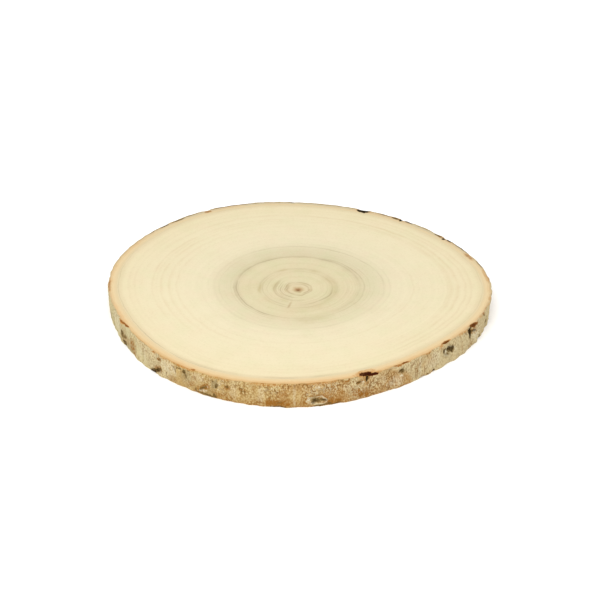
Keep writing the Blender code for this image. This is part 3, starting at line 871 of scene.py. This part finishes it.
def makeBark(materials):
    # A closed profile carried round the stem: out over the rim of the top face, down the bark,
    # in under the bottom edge, and back up the hidden wall at the cambium.
    turn = np.linspace(0, tau, bark["around"], endpoint=False)[None]
    rimShare = np.arange(bark["rimRows"]) / bark["rimRows"]
    sideLevel = (1 + np.cos(math.pi * np.arange(bark["sideRows"] + 1) / bark["sideRows"])) / 2
    underShare = np.arange(1, bark["underRows"] + 1) / bark["underRows"]
    level = np.concatenate([np.ones(len(rimShare)), sideLevel, np.zeros(len(underShare))])[:, None]
    inwardShare = np.concatenate([1 - rimShare, np.zeros(len(sideLevel)), underShare])[:, None]
    onSide, onTop, onBottom = inwardShare == 0, level == 1, level == 0
    inward = inwardShare * barkWidth(turn)
    below = topHeight * (1 - level) + 0 * turn
    above = topHeight * level + 0 * turn

    wideRim = barkWidth(turn).max()
    drop = np.where(onBottom, topHeight + inward, below - inward * onTop)  # less than 0 on the rim
    path = (wideRim + drop) / (2 * wideRim + topHeight)

    draw = random.Random(bark["seed"])
    farPores, farNicks, farMarks, farStains = farSideMarks(draw)
    sanded = 0.5 * smooth(np.sin(turn) / 0.5) * level ** 4  # the far top edge is worn smoother
    relief = (ribbed(turn, level, draw) + scurfy(turn, level, draw)) * (1 - sanded)

    # Finer relief than the solid holds: fibres, grains and thin plates
    fibres = patches(turn, path, 760, 5, 1) + 0.6 * patches(turn, path, 1300, 8, 2)
    grains = patches(turn, path, 700, 26, 3) + 0.5 * patches(turn, path, 1200, 44, 13)
    plateField = patches(turn, path, 150, 7, 4) + 0.5 * patches(turn, path, 330, 15, 5)
    plates = smooth((plateField - 0.05) / 0.25)
    finer = bark["fibre"] * fibres + bark["grain"] * grains + bark["plate"] * plates - bark["inset"]
    ragged = 0.25 * patches(turn, path, 420, 17, 6) + 0.25 * patches(turn, path, 900, 36, 7)

    # Colour masks. The foot of the bark is browner on the near side
    masks = {name: np.zeros(ragged.shape) for name in maskNames}
    near = smooth((np.cos(turn - math.radians(270)) - 0.83) / 0.13)
    nearFoot = near * smooth((below / mm - bark["footFrom"]) / bark["footOver"])
    masks["rust"] = bark["foot"] * nearFoot * (0.7 + 0.5 * patches(turn, path, 120, 6, 16))
    for table in (stains, farStains):
        paint(masks, table, turn, drop, 1.4 * ragged, 1.8)
    for table in (marks, farMarks):
        paint(masks, table, turn, drop, ragged, 0.7)
    paint(masks, lips, turn, drop, 0.6 * ragged, 0.26, hollow=True)
    relief = relief + finer + poreRelief(turn, below, (*pores, *farPores))
    relief = relief + splitMarks(turn, level, drop, masks)
    relief = relief + (bark["lipHeight"] * masks["paleAndHighlight"] - bark["darkDepth"] * masks["darkAndShadow"])
    relief = relief - bark["edge"] * (onTop | onBottom)

    shown = np.clip(1 - inward / bark["reliefFades"], 0, 1)
    radius = outline(turn, level) - inward + relief * shown
    z = above

    # Flakes off the top edge and nicks in the bottom one: a slanted cut across the corner, shaped
    # as a lens
    for table, flat, away in ((topFlakes, onTop, below), ((*bottomNicks, *farNicks), onBottom, above)):
        for degrees, width, sink in table:
            across = alongRim(turn, degrees) / mm
            within = np.abs(across) < width / 2
            lens = np.clip(1 - (2 * across / width) ** 2 + 0.5 * ragged * within, 0, 1) ** 0.8
            cutIn, cutAlong = (share * sink * mm * lens + 1e-9 for share in bark["flakeCuts"])
            onFlat, onWall = np.clip(1 - inward / cutIn, 0, 1), np.clip(1 - away / cutAlong, 0, 1) * onSide
            off = np.where(flat, onFlat, onWall) * (lens > 0.02)
            radius = radius - off * cutIn / 2
            z = z + off * cutAlong / 2 * np.where(away is below, -1, 1)
    z = z - bark["flakeDepth"] * np.minimum(masks["flake"], 1) * onTop

    # The torn edge of the thin bark, and the sawn bast, which has dried a little below the wood in
    # fine steps
    torn = smooth(patches(turn, level, 500, 2, 14) + 0.5 * patches(turn, level, 1100, 2, 15))
    z = z - bark["tornDepth"] * torn * np.exp(-inward / bark["tornReach"]) * onTop
    layers = 0.5 + 0.5 * np.cos(tau * inward / bark["bastLayer"] + 1.5 * patches(turn, level, 60, 2, 9))
    between = smooth(inward / (0.6 * mm)) * smooth((barkWidth(turn) - inward) / (0.4 * mm))
    sunk = (bark["bastSinks"][0] + bark["bastSinks"][1] * layers) * mm * between
    z = np.clip(z + np.where(onBottom, sunk, 0) - np.where(onTop, sunk, 0), 0, topHeight)

    x, y = radius * np.cos(turn), radius * np.sin(turn)
    middle = ((x.min() + x.max()) / 2, (y.min() + y.max()) / 2)
    # Nothing may stand out past the solid's own box
    x = np.clip(x - middle[0], lowCorner.x + bark["margin"], highCorner.x - bark["margin"])
    y = np.clip(y - middle[1], lowCorner.y + bark["margin"], highCorner.y - bark["margin"])
    points = np.stack([x, y, z], axis=-1).reshape(-1, 3)
    rows = len(level)
    faces = gridFaces(rows, bark["around"], True)
    relative = 0.5 + 0.2 * fibres + 0.2 * grains + 0.2 * (plates - 0.5)
    attributes = {"inward": inward / mm + 0 * z, "relief": relative, **masks}
    rowOfFace = np.repeat(np.arange(rows), bark["around"])
    sideRows = (rowOfFace >= bark["rimRows"]) & (rowOfFace < bark["rimRows"] + bark["sideRows"])
    slots = np.where(sideRows, 0, 1).astype(np.int32)
    return newPiece("barkRing", points, faces.tolist(), attributes, materials, slots, 50), middle


def barkFinish():
    # Thin poplar bark: beige, grey-green on one side and ochre on the other, covered in small pale grains
    # with brown gaps, upright in some places. The brown in the gaps is partly painted shade and the cream on
    # the grains partly painted highlight. Named stains, pores and cracks come over them from the mesh's
    # masks, with painted highlights on the lips of pores and scars and painted contact shadow along parts of
    # the bottom edge.
    material, tree, shader = startMaterial("poplarBark", 0.85, 0.06)
    light = bark["light"]
    objectSpace = put(tree, "ShaderNodeTexCoord").outputs["Object"]
    relief, darkAndShadow, grey, paleAndHighlight = attributesOf(tree, "relief", "darkAndShadow", "grey", "paleAndHighlight")
    rust, flake, orange, scaly = attributesOf(tree, "rust", "flake", "orange", "scaly")

    flat = vectorOf(tree, "MULTIPLY", objectSpace, (1, 1, 0))
    unit = unitOf(tree, flat)
    broad = noiseOf(tree, objectSpace, 50.0, 3.0)
    shift = rangeOf(tree, broad, 0.25, 0.75, -0.25, 0.25, "LINEAR")

    def facing(direction, low, high, outLow=0.0, outHigh=1.0):
        dot = vectorOf(tree, "DOT_PRODUCT", unit, towardsOf(direction), 1)
        return rangeOf(tree, mathOf(tree, "ADD", dot, shift), low, high, outLow, outHigh)

    colour = mixOf(tree, facing(202, 0.84, 1.05), linear(206, 187, 143, light), linear(206, 193, 148, light))
    colour = mixOf(tree, facing(90, 0.2, 1.0), colour, linear(198, 176, 127, light))
    colour = mixOf(tree, facing(259, 0.72, 0.98), colour, linear(194, 163, 105, light))
    colour = mixOf(tree, facing(285, 0.88, 1.03), colour, linear(184, 145, 90, light))

    # Grains: rounded in most places, upright in others
    upright = rangeOf(tree, broad, 0.48, 0.62)
    rounded = groupNode(tree, pebbles, {"Coordinates": objectSpace, "Stretch": (1, 1, 0.8), "Scale": 1300.0})
    tall = groupNode(tree, pebbles, {"Coordinates": objectSpace, "Stretch": (1, 1, 0.42), "Scale": 1400.0})
    grains = put(tree, "ShaderNodeMix", {0: upright, 2: rounded, 3: tall}, data_type="FLOAT").outputs[0]
    fleck = groupNode(tree, fibreFleck, {"Coordinates": objectSpace, "Stretch": (1, 1, 0.6), "Scale": 1500.0})
    both = mathOf(tree, "MULTIPLY_ADD", relief, 0.27, times(tree, grains, 0.38))
    both = mathOf(tree, "MULTIPLY_ADD", fleck, 0.35, both)
    patch = noiseOf(tree, objectSpace, 130.0, 2.0)
    amount = rangeOf(tree, patch, 0.35, 0.65, 0.4, 1.0)
    # Brown where the grains and relief lie low and cream where they stand high: partly the bark's own brown
    # gaps and pale grains, partly painted shade in the hollows and painted highlight on the ridges.
    low = times(tree, rangeOf(tree, both, 0.50, 0.26), amount)
    low = times(tree, low, facing(283, 0.70, 1.0, 0.75, 1.25))
    high = times(tree, rangeOf(tree, both, 0.52, 0.70), amount)
    colour = mixOf(tree, times(tree, low, 0.68), colour, linear(124, 83, 34, light))
    colour = mixOf(tree, times(tree, high, 0.5), colour, linear(226, 210, 162, light))

    # Where the bark is scaly, brown and cream wrinkles wind over it
    moved = vectorOf(tree, "ADD", objectSpace, (0.3, 0, 0.1))
    kinds = ((moved, 0.05, 0.75, (108, 72, 32)), (objectSpace, 0.035, 0.85, (238, 226, 188)))
    for place, width, share, tone in kinds:
        line = groupNode(tree, wrinkles, {"Coordinates": place, "Scale": 430.0, "Width": width})
        line = times(tree, times(tree, line, scaly), share)
        colour = mixOf(tree, line, colour, linear(*tone, light))

    broken = rangeOf(tree, both, 0.25, 0.65, 1.2, 0.7)
    # The pale mask, stronger on the high grains and mixed last so that it lies over the dark marks, is partly
    # pale bark and partly painted highlights.
    grainyPaleAndHighlight = times(tree, paleAndHighlight, rangeOf(tree, both, 0.3, 0.55, 0.45, 1.1))
    # The dark mask is mostly dark bark, pores and cracks, with painted contact shadow in its thin rows along
    # the bottom edge.
    darkened = times(tree, darkAndShadow, rangeOf(tree, both, 0.3, 0.7, 1.1, 0.85))
    for mask, share, tone in (
        (grey, 0.60, (144, 128, 90)),
        (times(tree, rust, broken), 0.90, (152, 102, 40)),
        (times(tree, orange, broken), 0.85, (198, 138, 72)),
        (rangeOf(tree, darkened, 0.0, 0.7), 0.85, (122, 96, 50)),
        (rangeOf(tree, darkened, 0.5, 1.2), 0.95, (50, 35, 10)),
        (grainyPaleAndHighlight, 0.80, (236, 227, 196)),
    ):
        colour = mixOf(tree, times(tree, mask, share), colour, linear(*tone, light))
    colour = scabs(tree, colour, flake, both, 1.15, 0.85, light)

    roughness = rangeOf(tree, both, 0.2, 0.8, 0.92, 0.72, "LINEAR")
    height = mathOf(tree, "MULTIPLY_ADD", grains, 0.7, times(tree, fleck, 0.3))
    finishWith(tree, shader, colour, roughness, height, 0.7, 0.18 * mm)
    return material


bastTones = (  # distance in from the bark's surface in millimetres, colour as it looks in front and elsewhere
    (0.0, (204, 164, 106), (208, 184, 142)),
    (0.35, (222, 182, 124), (216, 191, 148)),
    (0.8, (227, 190, 133), (226, 199, 153)),
    (1.3, (232, 196, 141), (235, 207, 159)),
    (1.8, (236, 202, 149), (242, 216, 168)),
    (2.8, (241, 213, 163), (245, 221, 174)),
    (3.8, (240, 216, 170), (241, 220, 176)),
    (4.6, (236, 215, 171), (237, 219, 175)),
)


def bastFinish():
    # The sawn rim: a thin dull skin outside, then orange bast that pales inwards, in fine layers.
    material, tree, shader = startMaterial("sawnBast", 0.7, 0.05)
    light = bark["rimLight"]
    objectSpace = put(tree, "ShaderNodeTexCoord").outputs["Object"]
    inward, darkAndShadow, flake, orange = attributesOf(tree, "inward", "darkAndShadow", "flake", "orange")
    patch = noiseOf(tree, objectSpace, 300.0, 4.0)
    uneven = mathOf(tree, "ADD", inward, rangeOf(tree, patch, 0.2, 0.8, -0.5, 0.5, "LINEAR"))
    span = bastTones[-1][0]
    along = mathOf(tree, "DIVIDE", uneven, span)
    front = rampOf(tree, along, [(place / span, linear(*tone, light)) for place, tone, _ in bastTones])
    elsewhere = rampOf(tree, along, [(place / span, linear(*tone, light)) for place, _, tone in bastTones])
    flat = vectorOf(tree, "MULTIPLY", objectSpace, (1, 1, 0))
    unit = unitOf(tree, flat)
    ahead = vectorOf(tree, "DOT_PRODUCT", unit, (-0.14, -0.99, 0), 1)
    colour = mixOf(tree, rangeOf(tree, ahead, 0.1, 0.9), elsewhere, front)
    farther = rangeOf(tree, ahead, -0.1, -0.8)
    dull = times(tree, farther, rangeOf(tree, uneven, 3.6, 1.8, 0.0, 0.9))
    colour = mixOf(tree, dull, colour, linear(219, 206, 171, light))
    dry = times(tree, farther, rangeOf(tree, uneven, 1.0, 0.2))
    colour = mixOf(tree, dry, colour, linear(162, 138, 88, light))
    broad = noiseOf(tree, objectSpace, 42.0, 2.0)
    peach = times(tree, rangeOf(tree, broad, 0.45, 0.65), rangeOf(tree, uneven, 0.3, 1.0))
    peach = times(tree, peach, rangeOf(tree, uneven, 3.4, 1.6, 0.1, 1.0))
    colour = mixOf(tree, times(tree, peach, 0.45), colour, linear(238, 194, 140, light))
    lines = groupNode(tree, fineLines, {"Along": uneven, "Per Millimetre": 2.2, "Offset": 11.0})
    fleck = groupNode(tree, fibreFleck, {"Coordinates": objectSpace, "Stretch": (1, 1, 0.3), "Scale": 900.0})
    colour = mixOf(tree, times(tree, lines, 0.14), colour, linear(206, 160, 108, light))
    broken = rangeOf(tree, patch, 0.3, 0.7, 0.5, 1.2)
    halo = times(tree, times(tree, orange, broken), 0.8)
    colour = mixOf(tree, halo, colour, linear(206, 148, 80, light))
    colour = mixOf(tree, rangeOf(tree, darkAndShadow, 0.05, 0.65, 0.0, 0.9), colour, linear(120, 92, 42, light))
    colour = mixOf(tree, rangeOf(tree, darkAndShadow, 0.45, 1.0), colour, linear(42, 30, 8, light))
    colour = scabs(tree, colour, flake, patch, 0.8, 1.15, light)

    roughness = rangeOf(tree, fleck, 0.0, 1.0, 0.62, 0.8, "LINEAR")
    height = mathOf(tree, "MULTIPLY_ADD", lines, 0.6, times(tree, fleck, 0.4))
    finishWith(tree, shader, colour, roughness, height, 0.4, 0.1 * mm)
    return material


barkRing, middle = makeBark([barkFinish(), bastFinish()])
sawnWood = makeWood(middle, woodFinish(middle))
for piece, slot in ((sawnWood, "sawn_wood"), (barkRing, "bark")):
    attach(piece, "root")
    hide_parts("wood_slice")
print("the plain solid is replaced, the outline's middle is at", [round(v / mm, 2) for v in middle])


# Floor, light and camera

studio = {
    "floorSize": 6.0,
    "floorCells": 8,
    "floorTone": (0.98, 0.98, 0.98, 1.0),
    "skyStrength": 1.1,
    "keyPower": 2.6,
    "keySize": 0.5,
    "keyPlace": (-0.14, -0.5, 0.55),
    "imageSide": 600,  # pixels
    "sensor": 36.0,
    "lensClips": (0.05, 20),
    "focalPixels": 1938.7,
    "elevation": 30.0,
    "distance": 1.0020,
    "outlineCentre": (-0.385 * mm, 6.16 * mm),  # from the point of the top face straight ahead of the lens
    "aimBelow": 9.25 * mm,  # the picture's own middle lies this far nearer than that point
}


def makeFloor():
    # A square sheet of smooth white board, worked out as a grid.
    cells = studio["floorCells"]
    side = np.linspace(-studio["floorSize"] / 2, studio["floorSize"] / 2, cells + 1)
    gridX, gridY = np.meshgrid(side, side)
    points = np.stack([gridX, gridY, 0 * gridX], axis=-1).reshape(-1, 3)
    row, col = np.meshgrid(np.arange(cells), np.arange(cells), indexing="ij")
    first = (row * (cells + 1) + col).ravel()
    faces = np.stack([first, first + 1, first + cells + 2, first + cells + 1], axis=-1)
    material, tree, shader = startMaterial("whiteBoard", 0.9, 0.0)
    shader.inputs["Base Color"].default_value = studio["floorTone"]
    floor = newPiece("floor", points, faces.tolist(), {}, [material], np.zeros(len(faces), np.int32), 30)


def lookAt(item, target):
    # Turns a lamp or camera, which look down their own -Z, to face the target with its top up.
    away = [item.location[axis] - target[axis] for axis in range(3)]
    flat = math.hypot(away[0], away[1])
    item.rotation_euler = (math.atan2(flat, away[2]), 0, math.atan2(away[0], -away[1]))


def makeLight():
    # An even pale room, and one soft lamp in front of the slice.
    world = bpy.data.worlds.new("paleRoom")
    bpy.context.scene.world = world
    world.use_nodes = True
    background = world.node_tree.nodes["Background"]
    background.inputs["Color"].default_value = (1, 1, 1, 1)
    background.inputs["Strength"].default_value = studio["skyStrength"]
    lamp = bpy.data.lights.new("softbox", "AREA")
    lamp.energy = studio["keyPower"]
    lamp.shape = "SQUARE"
    lamp.size = studio["keySize"]
    softbox = bpy.data.objects.new("softbox", lamp)
    bpy.context.scene.collection.objects.link(softbox)
    softbox.location = studio["keyPlace"]
    lookAt(softbox, (0, 0, 0))


def makeCamera(middle):
    # The lens stands opposite the front of the slice, at the height and distance that make its outline fit.
    centre = studio["outlineCentre"]
    ahead = (-middle[0] - centre[0], -middle[1] - centre[1])
    rise = math.radians(studio["elevation"])
    lens = bpy.data.cameras.new("camera")
    lens.sensor_width = studio["sensor"]
    lens.lens = studio["focalPixels"] * studio["sensor"] / studio["imageSide"]
    lens.clip_start, lens.clip_end = studio["lensClips"]
    camera = bpy.data.objects.new("camera", lens)
    bpy.context.scene.collection.objects.link(camera)
    camera.location = (
        ahead[0],
        ahead[1] - studio["distance"] * math.cos(rise),
        topHeight + studio["distance"] * math.sin(rise),
    )
    lookAt(camera, (ahead[0], ahead[1] - studio["aimBelow"], topHeight))
    bpy.context.scene.camera = camera


makeFloor()
makeLight()
makeCamera(middle)
bpy.context.scene.view_settings.view_transform = "Standard"
print("floor, light and camera ready")
